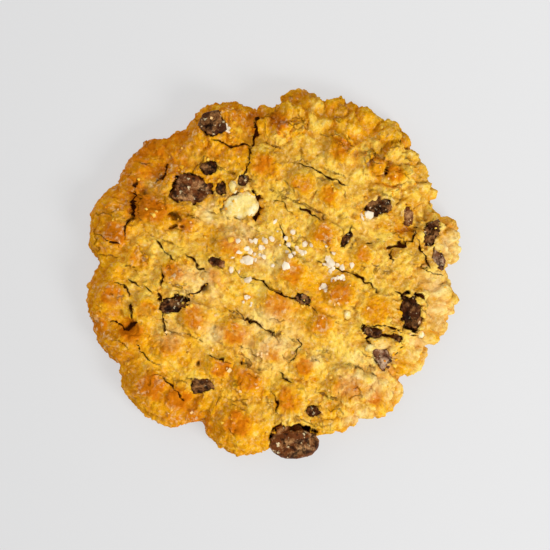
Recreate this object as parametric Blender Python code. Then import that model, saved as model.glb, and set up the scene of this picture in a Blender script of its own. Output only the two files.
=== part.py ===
"""A chocolate chip cookie, pressed across twice with a fork before baking.

The dough is one solid: a flat-based round with a lobed, broken rim, rows of square bumps that
the fork tines left standing, and a pocket for each chip.  Every chip is a solid of its own that
sits in its pocket with a small gap.  Tables and functions below are in millimetres; MM turns
them into Blender's metres.  The origin is the centre of the flat base, +Z up.
"""

import math

import bmesh
import bpy
from mathutils import Matrix, Vector, noise

MM = 0.001

# Dough round ---------------------------------------------------------------------------------
RIM_HEIGHT = 9.4      # top of the dough where the edge starts to round over
CROWN = 1.9           # how much higher the middle of the round stands
EDGE_ROUND = 6.2      # how far in from the outline the edge rounds over
WIDEST = 3.6          # height of the widest part of the edge
TUCK = 1.6            # how far the base is set in under the widest part
TOP_RINGS = 17        # rings of faces from the middle to the rounded edge
UPPER_STEPS = 3       # rings of faces down the edge to its widest part
LOWER_STEPS = 2       # rings of faces from there to the base

# Lobes of the broken rim, counter-clockwise from +X: bearing where the lobe starts (degrees),
# reach of the crease there, reach of the lobe's crown, and how square the lobe is.
LOBES = [
    (2, 34.9, 37.9, 5.0),
    (17.5, 35.5, 34.9, 2.0),
    (22, 34.2, 37.0, 2.6),
    (43, 36.6, 38.7, 3.0),
    (54, 37.5, 37.8, 2.0),
    (74, 36.0, 36.7, 3.0),
    (90, 33.5, 33.3, 2.0),
    (97, 32.9, 36.0, 2.2),
    (121, 33.9, 34.3, 2.0),
    (129, 34.7, 36.8, 2.0),
    (150.5, 36.0, 38.3, 2.8),
    (177, 35.3, 38.0, 3.0),
    (211, 36.3, 38.6, 2.6),
    (244.5, 33.2, 37.4, 2.3),
    (270.5, 34.5, 33.6, 2.0),
    (287, 34.2, 34.8, 2.0),
    (302, 34.3, 36.2, 2.6),
    (320, 32.9, 35.3, 2.4),
    (334, 34.0, 36.0, 2.0),
    (346, 35.6, 36.8, 2.0),
    (358, 35.0, 34.9, 2.0),
]

# Fork pressing -------------------------------------------------------------------------------
FORK_TURN = -24.0     # bearing of the rows that the fork left, degrees
BUMP_SQUARE = 3.0     # how square a bump's plan is
BUMP_FLAT = 0.30      # share of a bump's half width that is flat on top
BUMP_FLANK = 1.15     # breadth of its flank, as a share of its half width
# Rows of bumps: distance of the row across the fork's direction, then for each bump its place
# along the row, its half width and its height above the grooves.
FORK_ROWS = {
    27.8: [(-11.4, 2.6, 1.4), (2.0, 2.9, 1.5), (9.7, 2.7, 1.7), (14.1, 2.2, 1.4)],
    18.5: [(-10.0, 3.1, 1.5), (-1.7, 2.8, 1.8), (3.6, 2.4, 1.7)],
    10.8: [(6.1, 3.0, 1.8), (14.9, 2.6, 1.7)],
    1.4: [
        (-26.7, 3.4, 1.6),
        (-19.6, 2.2, 1.2),
        (-9.9, 3.0, 1.8),
        (3.4, 3.2, 1.8),
        (14.0, 2.8, 1.9),
        (21.8, 3.8, 1.4),
    ],
    -5.6: [(-31.9, 3.0, 1.3), (-10.2, 2.3, 1.4), (3.0, 3.4, 1.9), (13.2, 2.4, 1.5)],
    -8.6: [(-25.2, 2.8, 1.6), (-17.9, 3.4, 1.7)],
    -14.4: [
        (-10.8, 3.1, 1.8),
        (-2.3, 3.3, 1.8),
        (5.7, 3.3, 1.8),
        (13.2, 2.6, 1.7),
        (22.6, 3.8, 1.9),
        (28.9, 1.8, 1.1),
    ],
    -17.2: [(-27.2, 2.7, 1.3), (-19.9, 2.6, 1.5)],
    -21.8: [
        (-20.7, 3.0, 1.5),
        (-13.1, 2.9, 1.6),
        (-1.8, 2.4, 1.5),
        (3.9, 3.1, 1.8),
        (13.2, 3.6, 1.8),
    ],
    -30.5: [(-13.0, 3.2, 1.4), (-7.2, 3.0, 1.4), (5.9, 3.2, 1.6)],
}

# Fissures that split the rim: half width, depth, then the line they follow.
FISSURES = [
    (2.4, 2.8, [(-4.2, 35.0), (-3.4, 30.6), (-3.8, 27.6)]),
    (2.2, 2.2, [(-28.0, 17.4), (-27.5, 14.0), (-28.2, 11.2)]),
    (2.0, 1.4, [(-20.6, 21.4), (-23.6, 18.8), (-27.6, 17.2)]),
    (2.2, 1.8, [(-35.0, -10.8), (-31.6, -9.8), (-28.8, -10.6)]),
    (2.2, 1.8, [(-14.5, -31.5), (-17.0, -26.6), (-16.0, -23.6)]),
    (2.0, 1.6, [(26.2, 9.4), (26.2, 7.2), (23.6, 4.6)]),
    (2.0, 1.4, [(24.8, -19.0), (21.6, -20.0), (18.6, -19.4)]),
    (2.0, 1.4, [(-2.8, 14.0), (-3.2, 10.8)]),
]

# Chips ---------------------------------------------------------------------------------------
GAP = 0.32            # clearance between a chip and the walls of its pocket
LUMP = 0.12           # how far a chip's surface swells and dips, as a share of its size
PLAN_SQUARE = 2.4     # how square a chip is seen from above: 2 is an ellipse
SIDE_SQUARE = 3.2     # how square it is seen from the side
# name, kind, centre x and y, half length, half width, half height, turn (degrees), how far its
# top stands above the dough, and how much its +X end tapers.
CHIPS = [
    ("chip_main", "milk", -16.5, 16.4, 4.5, 3.0, 2.4, -8, 0.6, 0.10),
    ("chip_upper", "dark", -12.7, 20.6, 2.0, 1.6, 1.6, 10, 0.5, 0.05),
    ("chip_bead", "dark", -10.3, 16.6, 1.4, 1.1, 1.4, 80, 0.3, 0.10),
    ("chip_corner", "dark", -6.1, 18.1, 1.5, 1.2, 1.4, 75, 0.3, 0.10),
    ("white_chunk", "white", -6.9, 13.1, 3.9, 2.8, 2.2, 18, 0.8, -0.12),
    ("chip_top_left", "dark", -11.8, 29.3, 3.1, 2.6, 2.2, 35, 0.6, 0.10),
    ("chip_right_upper", "dark", 21.0, 12.9, 3.5, 1.9, 2.0, 20, 0.4, 0.08),
    ("chip_sliver", "milk", 26.6, 11.6, 2.3, 1.0, 1.5, 98, 0.3, 0.05),
    ("chip_far_right", "dark", 31.2, 7.6, 3.0, 1.7, 2.0, 65, 0.4, 0.10),
    ("chip_far_right_low", "milk", 32.8, 2.5, 2.1, 1.2, 1.6, -60, 0.3, 0.08),
    ("chip_right", "dark", 27.4, -8.2, 4.4, 2.0, 2.2, 96, 0.4, -0.12),
    ("chip_lower_right", "dark", 19.9, -12.0, 2.1, 1.2, 1.6, -15, 0.3, 0.10),
    ("chip_dusted", "milk", 21.4, -16.9, 2.8, 1.9, 1.9, -70, 0.4, 0.10),
    ("chip_speck", "dark", 24.7, -13.1, 1.2, 1.0, 1.2, -12, 0.3, 0.05),
    ("chip_bottom", "milk", 4.1, -33.6, 4.8, 3.5, 3.0, 0, 4.2, 0.04),
    ("chip_left", "dark", -19.8, -6.4, 3.4, 1.8, 2.0, 22, 0.3, -0.10),
    ("chip_lower_left", "dark", -14.0, -22.4, 2.8, 1.5, 1.8, 8, 0.3, 0.08),
    ("chip_mid", "dark", 5.8, -5.3, 1.9, 1.1, 1.4, -22, 0.2, 0.08),
    ("chip_grey", "milk", -11.5, 2.0, 1.6, 0.9, 1.2, -15, 0.2, 0.05),
    ("chip_crack", "dark", 14.5, 6.6, 1.8, 1.0, 1.4, 62, 0.2, 0.05),
    ("chip_low", "dark", 7.8, -27.6, 1.4, 1.3, 1.4, 20, 0.2, 0.05),
]
# Facets of a chip by its half length: up to so many mm, segments around, rings from top to bottom.
CHIP_FACETS = [(2.0, 8, 6), (3.3, 10, 7), (math.inf, 14, 9)]

# Finishes: base colour, roughness.  Nothing here is metallic.
FINISHES = {
    "dough": ((0.62, 0.33, 0.06, 1.0), 0.85),
    "dark": ((0.050, 0.020, 0.012, 1.0), 0.45),
    "milk": ((0.110, 0.048, 0.028, 1.0), 0.45),
    "white": ((0.80, 0.66, 0.36, 1.0), 0.55),
}


def lobe_reach(bearing):
    """Reach of the outline (mm) at a bearing (radians): each lobe swells between its creases."""
    degrees = math.degrees(bearing) % 360
    if degrees < LOBES[0][0]:
        degrees += 360
    following = LOBES[1:] + [(LOBES[0][0] + 360, *LOBES[0][1:])]
    for (start, crease, crown, squareness), (end, next_crease, *_) in zip(LOBES, following):
        if start <= degrees < end:
            share = (degrees - start) / (end - start)
            chord = crease * (1 - share) + next_crease * share
            swell = crown - (crease + next_crease) / 2
            return chord + swell * (1 - abs(2 * share - 1) ** squareness)
    return LOBES[0][1]


def smooth_fall(x):
    """1 at 0, falling smoothly to 0 at 1 and beyond."""
    x = min(max(abs(x), 0.0), 1.0)
    return (1 - x * x) ** 2


def fork_relief(x, y):
    """Height of the fork's bumps (mm): flat-topped rounded squares standing in rows."""
    turn = math.radians(FORK_TURN)
    along = x * math.cos(turn) + y * math.sin(turn)
    across = -x * math.sin(turn) + y * math.cos(turn)
    height = 0.0
    for row, bumps in FORK_ROWS.items():
        for place, half, rise in bumps:
            reach = (abs(along - place) ** BUMP_SQUARE + abs(across - row) ** BUMP_SQUARE) ** (
                1 / BUMP_SQUARE
            )
            flank = max(reach / half - BUMP_FLAT, 0.0) / BUMP_FLANK
            height = max(height, rise * smooth_fall(flank))
    return height


def distance_to_line(x, y, line):
    """Distance (mm) from a point to a polyline."""
    point = Vector((x, y))
    nearest = math.inf
    for a, b in zip(line, line[1:]):
        start, run = Vector(a), Vector(b) - Vector(a)
        share = min(max((point - start).dot(run) / run.length_squared, 0.0), 1.0)
        nearest = min(nearest, (point - start - run * share).length)
    return nearest


def fissure_relief(x, y):
    """Depth of the fissures (mm, negative), as rounded valleys."""
    cut = 0.0
    for width, depth, line in FISSURES:
        cut = max(cut, depth * smooth_fall(distance_to_line(x, y, line) / width))
    return -cut


def top_height(x, y):
    """Height of the dough's top (mm), away from the rounded edge."""
    reach = lobe_reach(math.atan2(y, x))
    share = min(math.hypot(x, y) / (reach - EDGE_ROUND), 1.0)
    return RIM_HEIGHT + CROWN * (1 - share**2) + fork_relief(x, y) + fissure_relief(x, y)


def edge_point(bearing, fall):
    """A point of the rounded edge (mm).  fall goes from 0 at the top through 1/2 at the widest
    part to 1 at the base."""
    reach = lobe_reach(bearing)
    inner = reach - EDGE_ROUND
    top = top_height(inner * math.cos(bearing), inner * math.sin(bearing))
    if fall <= 0.5:
        swing = math.pi * fall
        radius = inner + EDGE_ROUND * math.sin(swing)
        height = WIDEST + (top - WIDEST) * math.cos(swing)
    else:
        swing = math.pi * (fall - 0.5)
        radius = reach - TUCK * (1 - math.cos(swing))
        height = WIDEST * (1 - math.sin(swing))
    return Vector((radius * math.cos(bearing), radius * math.sin(bearing), height))


def square_to_disc(a, b):
    """The concentric map of a square onto a disc: distance from the middle (0 to 1), bearing."""
    if abs(a) >= abs(b):
        turn = 0.0 if a == 0 else math.pi / 4 * b / a
        return abs(a), turn + (math.pi if a < 0 else 0.0)
    turn = math.pi / 2 - math.pi / 4 * a / b
    return abs(b), turn + (math.pi if b < 0 else 0.0)


def finish(kind):
    """The material of that kind, made once."""
    if kind in bpy.data.materials:
        return bpy.data.materials[kind]
    colour, roughness = FINISHES[kind]
    material = bpy.data.materials.new(kind)
    material.use_nodes = True
    shader = material.node_tree.nodes["Principled BSDF"]
    shader.inputs["Base Color"].default_value = colour
    shader.inputs["Roughness"].default_value = roughness
    shader.inputs["Metallic"].default_value = 0.0
    material.diffuse_color = colour
    return material


def object_from(bm, name, kind, collection):
    """A smooth-shaded object from a bmesh, in metres."""
    bmesh.ops.recalc_face_normals(bm, faces=bm.faces)
    mesh = bpy.data.meshes.new(name)
    bm.to_mesh(mesh)
    bm.free()
    mesh.transform(Matrix.Scale(MM, 4))
    mesh.materials.append(finish(kind))
    mesh.shade_smooth()
    made = bpy.data.objects.new(name, mesh)
    collection.objects.link(made)
    return made


def make_dough(collection):
    """The round: a grid laid over the top, then rings extruded down the edge, then the base."""
    bm = bmesh.new()
    bmesh.ops.create_grid(bm, x_segments=2 * TOP_RINGS, y_segments=2 * TOP_RINGS, size=1)
    for vert in bm.verts:
        share, bearing = square_to_disc(vert.co.x, vert.co.y)
        radius = share * (lobe_reach(bearing) - EDGE_ROUND)
        x, y = radius * math.cos(bearing), radius * math.sin(bearing)
        vert.co = Vector((x, y, top_height(x, y)))
    loop = [edge for edge in bm.edges if edge.is_boundary]
    upper = [0.5 * step / UPPER_STEPS for step in range(1, UPPER_STEPS + 1)]
    lower = [0.5 + 0.5 * step / LOWER_STEPS for step in range(1, LOWER_STEPS + 1)]
    for fall in upper + lower:
        made = bmesh.ops.extrude_edge_only(bm, edges=loop)["geom"]
        ring = [item for item in made if isinstance(item, bmesh.types.BMVert)]
        for vert in ring:
            bearing = math.atan2(vert.co.y, vert.co.x)
            vert.co = edge_point(bearing, fall)
        loop = [
            item for item in made if isinstance(item, bmesh.types.BMEdge) and item.is_boundary
        ]
    bmesh.ops.contextual_create(bm, geom=loop)
    return object_from(bm, "dough", "dough", collection)


def make_chip(chip, grow, name, kind, collection):
    """A lumpy, tapered block with rounded edges, grown by so many mm all round."""
    _, _, x, y, half_length, half_width, half_height, turn, proud, taper = chip
    bm = bmesh.new()
    around, rings = next(facets[1:] for facets in CHIP_FACETS if half_length <= facets[0])
    bmesh.ops.create_uvsphere(bm, u_segments=around, v_segments=rings, radius=1)
    for vert in bm.verts:
        way = vert.co.normalized()
        plan = (abs(way.x) ** PLAN_SQUARE + abs(way.y) ** PLAN_SQUARE) ** (1 / PLAN_SQUARE)
        blocky = (plan**SIDE_SQUARE + abs(way.z) ** SIDE_SQUARE) ** (-1 / SIDE_SQUARE)
        swell = blocky * (1 + LUMP * noise.noise(way * 1.6 + Vector((x, y, half_length))))
        slim = 1 - taper * way.x
        vert.co = Vector(
            (
                way.x * half_length * swell + way.x * grow,
                way.y * half_width * swell * slim + way.y * grow,
                way.z * half_height * swell * slim + way.z * grow,
            )
        )
    bmesh.ops.rotate(bm, verts=bm.verts, matrix=Matrix.Rotation(math.radians(turn), 3, "Z"))
    rise = chip_top(x, y) + proud - half_height
    bmesh.ops.translate(bm, verts=bm.verts, vec=Vector((x, y, rise)))
    return object_from(bm, name, kind, collection)


def chip_top(x, y):
    """Height of the dough where a chip lies (mm), also out on the rounded edge."""
    bearing = math.atan2(y, x)
    reach = lobe_reach(bearing)
    inner = reach - EDGE_ROUND
    out = min(max(math.hypot(x, y) - inner, 0.0) / EDGE_ROUND, 0.98)
    top = top_height(x, y)
    return WIDEST + (top - WIDEST) * math.sqrt(1 - out**2)


def move_middle_to_origin(pieces, measured):
    """Shift every mesh so that the middle of the measured ones' box lies over the origin."""
    corners = [vert.co for piece in measured for vert in piece.data.vertices]
    x = (min(co.x for co in corners) + max(co.x for co in corners)) / 2
    y = (min(co.y for co in corners) + max(co.y for co in corners)) / 2
    for piece in pieces:
        piece.data.transform(Matrix.Translation((-x, -y, 0.0)))


def new_collection(name, hidden=False):
    made = bpy.data.collections.new(name)
    made.hide_render = hidden
    bpy.context.scene.collection.children.link(made)
    return made


def main():
    for leftover in list(bpy.data.objects):
        bpy.data.objects.remove(leftover, do_unlink=True)
    cookie = new_collection("chocolate_chip_cookie")
    cutters = new_collection("pocket_cutters", hidden=True)
    dough = make_dough(cookie)
    for chip in CHIPS:
        name, kind = chip[:2]
        make_chip(chip, 0.0, name, kind, cookie)
        cutter = make_chip(chip, GAP, "pocket_" + name, kind, cutters)
        cutter.hide_render = True
        cutter.display_type = "WIRE"
    pockets = dough.modifiers.new("chip pockets", "BOOLEAN")
    pockets.operation = "DIFFERENCE"
    pockets.operand_type = "COLLECTION"
    pockets.collection = cutters
    pockets.solver = "EXACT"
    move_middle_to_origin([*cookie.objects, *cutters.objects], list(cookie.objects))


main()
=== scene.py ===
"""A chocolate chip cookie, pressed across twice with a fork before baking: the baked round, the
chips in it, and the salt, nibs, sugar and crumbs on it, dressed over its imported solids.

The tables are in millimetres, counted from the middle of the fork's pattern, with +X to the right
and +Y away.  MM and MIDDLE turn them into metres in the frame of the solids.
"""

import itertools
import math

import bpy
import numpy as np
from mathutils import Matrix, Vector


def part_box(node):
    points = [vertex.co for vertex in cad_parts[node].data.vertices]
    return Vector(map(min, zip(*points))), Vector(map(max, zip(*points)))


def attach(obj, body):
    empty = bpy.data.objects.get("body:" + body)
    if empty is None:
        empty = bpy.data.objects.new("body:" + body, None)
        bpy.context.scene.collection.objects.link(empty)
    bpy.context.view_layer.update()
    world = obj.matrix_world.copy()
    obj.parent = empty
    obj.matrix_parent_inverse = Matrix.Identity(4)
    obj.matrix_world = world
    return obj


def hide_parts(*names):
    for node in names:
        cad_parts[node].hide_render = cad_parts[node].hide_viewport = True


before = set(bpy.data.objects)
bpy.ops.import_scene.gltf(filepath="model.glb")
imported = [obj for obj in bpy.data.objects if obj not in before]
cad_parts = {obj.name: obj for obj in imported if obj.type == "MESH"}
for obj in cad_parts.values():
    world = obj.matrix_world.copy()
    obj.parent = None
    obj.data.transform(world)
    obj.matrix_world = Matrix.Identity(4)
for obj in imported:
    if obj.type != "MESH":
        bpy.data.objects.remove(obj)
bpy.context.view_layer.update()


# The baked round ------------------------------------------------------------------------------
# Sugary drop-cookie dough, rolled in a ball and pressed flat with a fork, so that rows of square
# bumps stand on it and its rim breaks into lobes.  It is one closed skin: the top, the rounded
# edge, and the flat underside that baked on the tray.

MM = 0.001
REACH = 37.0          # about half the width of the round, which places out to the rim are shares of
RIM_HEIGHT = 9.4      # top of the dough where the edge starts to round over
CROWN = 1.9           # how much higher the middle of the round stands
EDGE_ROUND = 6.2      # how far in from the outline the edge rounds over
WIDEST = 3.6          # height of the widest part of the edge
TUCK = 1.6            # how far the base is set in under the widest part
FLAT_ABOVE = 11.9     # height where the tallest lumps begin to be flattened, to 1 mm more
TOP_RINGS = 140       # rings of faces from the middle, over the edge, to the base
TOP_SHARE = 0.80      # share of those rings that lie on the top
BASE_RINGS = 70       # rings of faces under the base, half as many so that two meet one

# Lobes of the broken rim, counter-clockwise from +X: bearing where the lobe starts (degrees),
# reach of the crease there, reach of the lobe's crown, and how square the lobe is.
LOBES = np.array(
    [
        (2, 34.9, 37.9, 5.0),
        (17.5, 35.5, 34.9, 2.0),
        (22, 34.2, 37.0, 2.6),
        (43, 36.6, 38.7, 3.0),
        (54, 37.5, 37.8, 2.0),
        (74, 36.0, 36.7, 3.0),
        (90, 33.5, 33.3, 2.0),
        (97, 32.9, 36.0, 2.2),
        (121, 33.9, 34.3, 2.0),
        (129, 34.7, 36.8, 2.0),
        (150.5, 36.0, 38.3, 2.8),
        (177, 35.3, 38.0, 3.0),
        (211, 36.3, 38.6, 2.6),
        (244.5, 33.2, 37.4, 2.3),
        (270.5, 34.5, 33.6, 2.0),
        (287, 34.2, 34.8, 2.0),
        (302, 34.3, 36.2, 2.6),
        (320, 32.9, 35.3, 2.4),
        (334, 34.0, 36.0, 2.0),
        (346, 35.6, 36.8, 2.0),
        (358, 35.0, 34.9, 2.0),
    ]
)

# The fork's rows of bumps: for each, its distance across the fork's direction, then every
# bump's place along the row, half width and height above the grooves.
FORK_TURN = math.radians(-24)
BUMP_SQUARE = 3.0     # how square a bump's plan is
BUMP_FOOT = 1.12      # where its foot lies, as a share of its half width
BUMP_FLAT = 3.6       # how flat its top is
BUMP_RISE = 1.04      # how far the crisp crust raises it over the soft form of the solid
BUMP_BROWN = 1.08     # how far its browned top reaches, as a share of its half width
FRAY, FRAY_SIZE = 0.75, 2.6     # how far its edge strays, and the size of its turns
FURROWS = (23.0, 14.6, 6.0, -2.9, -10.6, -18.4, -26.2)  # lines the tines pressed between rows
FORK_ROWS = {
    27.8: [(-11.4, 2.6, 1.4), (2.0, 2.9, 1.5), (9.7, 2.7, 1.7), (14.1, 2.2, 1.4)],
    18.5: [(-10.0, 3.1, 1.5), (-1.7, 2.8, 1.8), (3.6, 2.4, 1.7)],
    10.8: [(6.1, 3.0, 1.8), (14.9, 2.6, 1.7)],
    1.4: [
        (-26.7, 3.4, 1.6), (-19.6, 2.2, 1.2), (-9.9, 3.0, 1.8), (3.4, 3.2, 1.8),
        (14.0, 2.8, 1.9), (21.8, 3.8, 1.4),
    ],
    -5.6: [(-31.9, 3.0, 1.3), (-10.2, 2.3, 1.4), (3.0, 3.4, 1.9), (13.2, 2.4, 1.5)],
    -8.6: [(-25.2, 2.8, 1.6), (-17.9, 3.4, 1.7)],
    -14.4: [
        (-10.8, 3.1, 1.8), (-2.3, 3.3, 1.8), (5.7, 3.3, 1.8), (13.2, 2.6, 1.7),
        (22.6, 3.8, 1.9), (28.9, 1.8, 1.1),
    ],
    -17.2: [(-27.2, 2.7, 1.3), (-19.9, 2.6, 1.5)],
    -21.8: [
        (-20.7, 3.0, 1.5), (-13.1, 2.9, 1.6), (-1.8, 2.4, 1.5), (3.9, 3.1, 1.8),
        (13.2, 3.6, 1.8),
    ],
    -30.5: [(-13.0, 3.2, 1.4), (-7.2, 3.0, 1.4), (5.9, 3.2, 1.6)],
}

# Wide fissures that split the rim: half width, depth, then the line they follow.
FISSURES = [
    (2.4, 2.8, [(-4.2, 35.0), (-3.4, 30.6), (-3.8, 27.6)]),
    (2.2, 2.2, [(-28.0, 17.4), (-27.5, 14.0), (-28.2, 11.2)]),
    (2.0, 1.4, [(-20.6, 21.4), (-23.6, 18.8), (-27.6, 17.2)]),
    (2.2, 1.8, [(-35.0, -10.8), (-31.6, -9.8), (-28.8, -10.6)]),
    (2.2, 1.8, [(-14.5, -31.5), (-17.0, -26.6), (-16.0, -23.6)]),
    (2.0, 1.6, [(26.2, 9.4), (26.2, 7.2), (23.6, 4.6)]),
    (2.0, 1.4, [(24.8, -19.0), (21.6, -20.0), (18.6, -19.4)]),
    (2.0, 1.4, [(-2.8, 14.0), (-3.2, 10.8)]),
]

# Narrow cracks of the crust: half width, depth, then the line they follow.
CRACKS = [
    (0.35, 1.3, [(-23.3, 6.2), (-21.7, 4.6), (-19.7, 2.4)]),
    (0.35, 1.3, [(-17.3, 3.6), (-15.7, 2.4), (-14.7, 0.8), (-13.5, 0.0)]),
    (
        0.30,
        1.1,
        [(-7.7, 0.4), (-6.7, -0.8), (-2.3, -1.6), (-1.1, -2.6), (1.3, -4.2), (4.7, -5.0), (8.5, -7.8)],
    ),
    (0.28, 1.0, [(-7.3, -7.6), (-5.7, -9.0), (-3.7, -10.0), (-2.3, -11.0), (0.3, -12.2)]),
    (0.28, 1.0, [(0.3, 14.4), (1.9, 13.8), (2.9, 12.4), (3.7, 11.6)]),
    (0.30, 1.1, [(5.3, 12.8), (6.9, 12.0), (9.3, 10.6)]),
    (0.25, 0.9, [(1.3, 9.4), (2.3, 6.4), (4.1, 3.2)]),
    (0.32, 1.1, [(8.9, 2.2), (11.3, 1.0), (14.3, 0.0), (16.7, -0.6), (18.3, -2.0), (20.9, -3.2)]),
    (0.28, 1.0, [(5.3, 21.4), (7.9, 20.8), (10.3, 19.0), (14.3, 17.2)]),
    (0.75, 1.2, [(-27.3, 18.0), (-27.9, 14.4), (-27.9, 10.6)]),
    (0.35, 1.0, [(-28.0, 11.0), (-29.5, 9.0), (-29.6, 6.6)]),
    (0.80, 1.6, [(-3.3, 31.2), (-3.3, 29.4), (-3.5, 26.6)]),
    (0.35, 1.4, [(-3.5, 27.4), (-4.5, 24.0), (-5.5, 20.0), (-6.1, 18.8)]),
    (0.85, 1.8, [(-4.2, 16.2), (-3.1, 14.6), (-2.9, 12.6), (-3.7, 10.2)]),
    (0.65, 1.5, [(15.5, 9.0), (14.9, 7.0), (13.5, 5.0)]),
    (0.32, 1.2, [(4.7, -13.2), (5.3, -14.6), (4.5, -16.6), (3.3, -18.0)]),
    (0.30, 1.0, [(-22.7, -4.8), (-21.7, -8.0), (-22.1, -10.0), (-21.5, -12.0)]),
    (0.35, 1.2, [(-32.7, -10.0), (-31.7, -9.6), (-29.7, -11.0), (-27.3, -10.0)]),
    (0.30, 1.1, [(-28.3, -6.2), (-28.1, -9.2)]),
    (0.32, 1.1, [(-21.7, -21.0), (-20.3, -22.4), (-19.1, -24.0), (-17.7, -25.6)]),
    (0.25, 0.9, [(-0.3, -23.6), (0.3, -25.2), (0.7, -26.6), (0.5, -28.0)]),
    (0.25, 0.9, [(1.3, -20.0), (2.3, -21.2), (3.7, -21.6)]),
    (0.30, 1.0, [(23.3, 4.4), (23.7, 2.0)]),
    (0.25, 0.8, [(-12.7, -16.6), (-10.3, -17.2), (-8.7, -18.2)]),
    (0.25, 0.8, [(-35.3, 7.4), (-32.7, 6.4), (-30.7, 5.4)]),
    (0.25, 0.8, [(-28.7, -1.6), (-26.7, -3.2)]),
    (0.22, 0.7, [(-25.7, -2.6), (-24.3, -4.0)]),
    (0.22, 0.7, [(-27.1, -14.6), (-24.7, -17.6)]),
    (0.30, 1.0, [(-11.7, 26.4), (-9.7, 25.4), (-8.1, 24.8), (-5.7, 25.4), (-4.3, 24.4)]),
    (0.35, 1.3, [(28.2, 9.0), (29.0, 4.8), (30.9, 1.2)]),
    (0.30, 1.2, [(17.6, -11.2), (22.0, -10.6), (25.4, -12.0), (26.6, -9.0)]),
    (0.30, 1.1, [(18.6, -13.4), (19.6, -16.4), (20.6, -18.6)]),
    (0.30, 1.0, [(23.6, -16.8), (26.0, -14.6)]),
    (0.55, 1.8, [(-17.4, -4.9), (-15.3, -3.9), (-13.7, -2.8)]),
    (0.45, 1.6, [(-23.0, -3.9), (-22.0, -5.6), (-21.8, -8.4)]),
    (0.65, 1.8, [(24.3, -3.8), (26.6, -5.3), (27.6, -7.6)]),
    (0.60, 1.8, [(30.3, -5.5), (28.4, -4.4), (27.4, -6.4)]),
    (0.45, 1.6, [(18.9, -13.8), (20.7, -16.6), (20.8, -18.6)]),
    (0.55, 1.5, [(23.5, -12.6), (25.4, -13.8)]),
    (1.10, 1.9, [(31.9, 5.8), (32.2, 3.6), (33.0, 1.4)]),
    (0.80, 1.7, [(21.2, -12.2), (22.6, -12.7), (24.2, -12.8)]),
    (0.60, 1.5, [(17.7, -10.6), (18.4, -11.8), (18.6, -13.4)]),
    (0.35, 1.2, [(29.4, 0.9), (31.2, -0.1), (33.4, -0.6)]),
    (0.35, 1.1, [(22.4, 4.6), (25.6, 5.6), (28.2, 7.4)]),
    (0.30, 1.1, [(-22.7, 1.4), (-22.0, -0.6), (-22.3, -3.2)]),
    (0.28, 0.9, [(-31.4, -1.8), (-29.6, -2.6), (-28.6, -4.6)]),
    (0.45, 1.1, [(-20.9, 21.8), (-21.8, 19.6), (-23.4, 18.0)]),
]

# Small holes where the crust broke over a bubble, painted dark inside as shade: place, half width and
# depth.
HOLES = [
    (-20.0, 9.0, 0.9, 1.2), (-18.3, 9.0, 0.8, 1.3), (26.9, 23.1, 0.9, 1.3), (19.7, 26.4, 0.4, 0.8),
    (7.9, -27.5, 1.3, 1.6), (-13.7, -3.2, 1.0, 1.8), (-15.0, -18.4, 0.9, 1.6), (6.6, -5.9, 0.9, 1.2),
    (21.0, -3.6, 0.6, 1.0), (-25.6, 16.4, 0.8, 1.2), (-19.4, 11.2, 1.1, 1.5),
]

# Patches the oven browned more, or less: place, half width and how much.
BROWN_PATCHES = [
    (-19, 23, 18, 0.48), (-24, -2, 14, -0.35), (16, 10, 12, 0.12), (33, 1, 11, -0.35),
    (14, 31, 10, 0.14), (-6, 33, 10, 0.20), (4, -8, 10, 0.15), (36, 4.5, 7, -0.40),
    (30, 18, 10, -0.48), (31, -10, 7, -0.20), (14, -1, 8, 0.50), (8, -5, 9, 0.20),
    (-16, -31, 8, 0.30), (-7, -24, 9, 0.28), (-8, 24, 8, 0.20),
]

# Patches where pale crumb or a dust of flour shows: place and half width.
PALE_PATCHES = [
    (-9.6, 12.8, 4.6), (-6.5, 17, 2.6), (18.8, 10.6, 2.4), (35, 5.4, 6.5),
    (32.5, -2.5, 5), (21.6, -15.6, 3.6), (16.6, -17.6, 2.6), (28.8, -13.6, 3.4),
    (33, -7.4, 4.4), (15.4, -21.6, 2.6), (8, -17.4, 2.4), (20.6, 13.6, 2.4),
    (-0.4, 2.4, 5), (-7, 8, 5), (-20.6, -12.6, 4), (-12.4, -12.2, 4),
    (-1, -13, 9), (18, -22, 8), (-15, -3, 7), (21.8, -17, 4.2),
    (30.5, -17, 5), (17, -29.5, 5), (25, -24, 4.5), (34, -9, 5),
    (-12.6, 11.4, 4),
]


def lobe_reach(bearing):
    """Reach of the outline (mm) at bearings in radians: between its two creases each lobe
    stands out from the straight line by its swell times 1 - |2t - 1| to its squareness."""
    degrees = np.degrees(bearing) % 360
    degrees = np.where(degrees < LOBES[0, 0], degrees + 360, degrees)
    start, crease, crown, square = LOBES.T
    end, next_crease = np.append(start[1:], start[0] + 360), np.append(crease[1:], crease[0])
    lobe = np.searchsorted(start, degrees, side="right") - 1
    share = (degrees - start[lobe]) / (end[lobe] - start[lobe])
    chord = crease[lobe] * (1 - share) + next_crease[lobe] * share
    swell = crown[lobe] - (crease[lobe] + next_crease[lobe]) / 2
    return chord + swell * (1 - np.abs(2 * share - 1) ** square[lobe])


def smooth_fall(x):
    """1 at 0, falling smoothly to 0 at 1 and beyond: (1 - x squared) squared."""
    return (1 - np.clip(np.abs(x), 0, 1) ** 2) ** 2


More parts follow.
